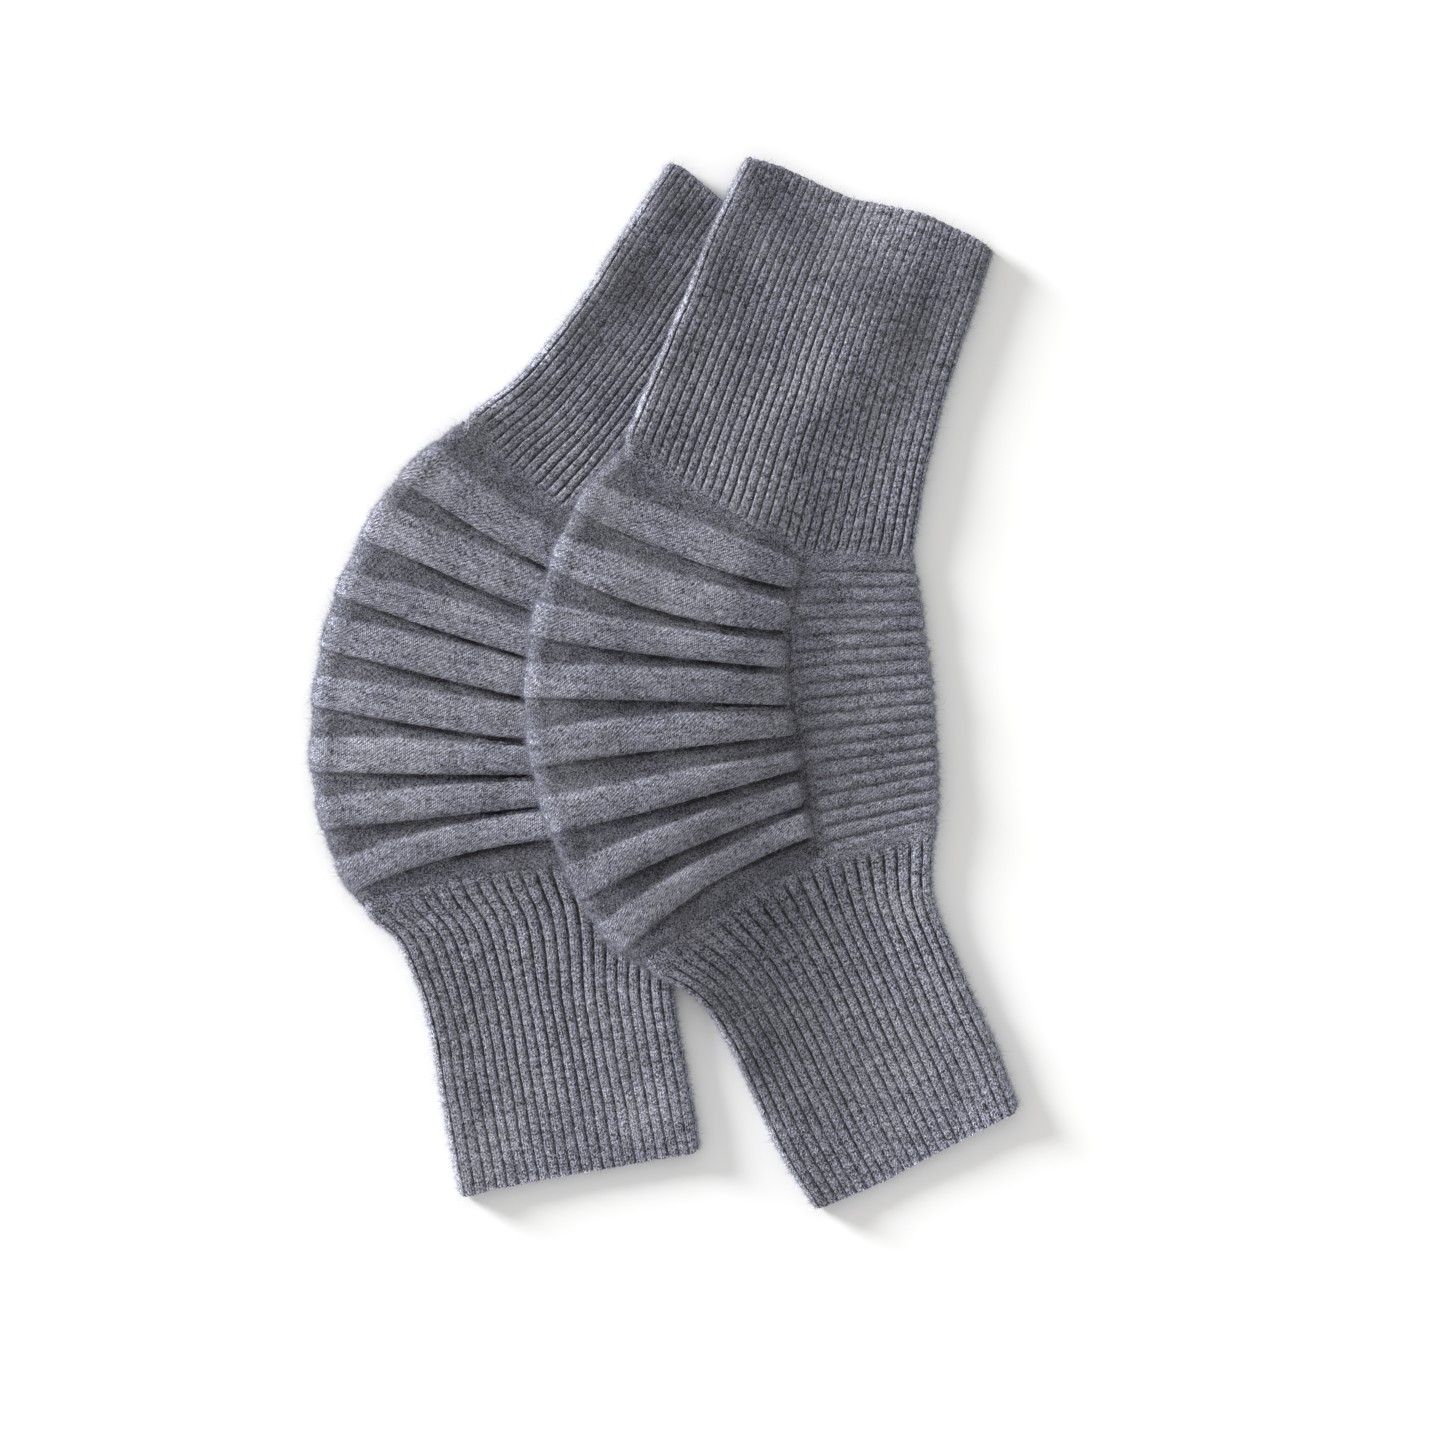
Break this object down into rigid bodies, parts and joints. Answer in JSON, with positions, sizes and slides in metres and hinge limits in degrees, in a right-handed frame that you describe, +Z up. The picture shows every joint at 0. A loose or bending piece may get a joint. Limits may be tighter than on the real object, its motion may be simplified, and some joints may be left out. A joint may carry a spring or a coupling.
{
  "type": "pair of knee warmers",
  "caption": "Pair of knitted wool knee warmers laid flat, one partly over the other: ribbed thigh and calf cuffs, curved knee with raised welts across its front.",
  "frame": {"origin": "on the surface that the pair lies on, under the middle of the pair's footprint", "axes": "+Z up from the surface, +Y from the calf cuffs towards the thigh cuffs, +X from the knee fronts towards the knee backs"},
  "size_m": [0.3002, 0.4418, 0.0242],
  "materials": {
    "rib_wool": "ribbed heather grey wool knit, soft and slightly hairy",
    "welt_wool": "plain heather grey wool knit in raised welts over a purl ground, brushed and hairy",
    "ridge_wool": "finely ridged heather grey wool knit, soft and slightly hairy"
  },
  "bodies": {
    "root": {"under_thigh_cuff": "rib_wool", "under_knee_front": "welt_wool", "under_knee_back": "ridge_wool", "under_calf_cuff": "rib_wool", "over_thigh_cuff": "rib_wool", "over_knee_front": "welt_wool", "over_knee_back": "ridge_wool", "over_calf_cuff": "rib_wool"}
  },
  "joints": []
}
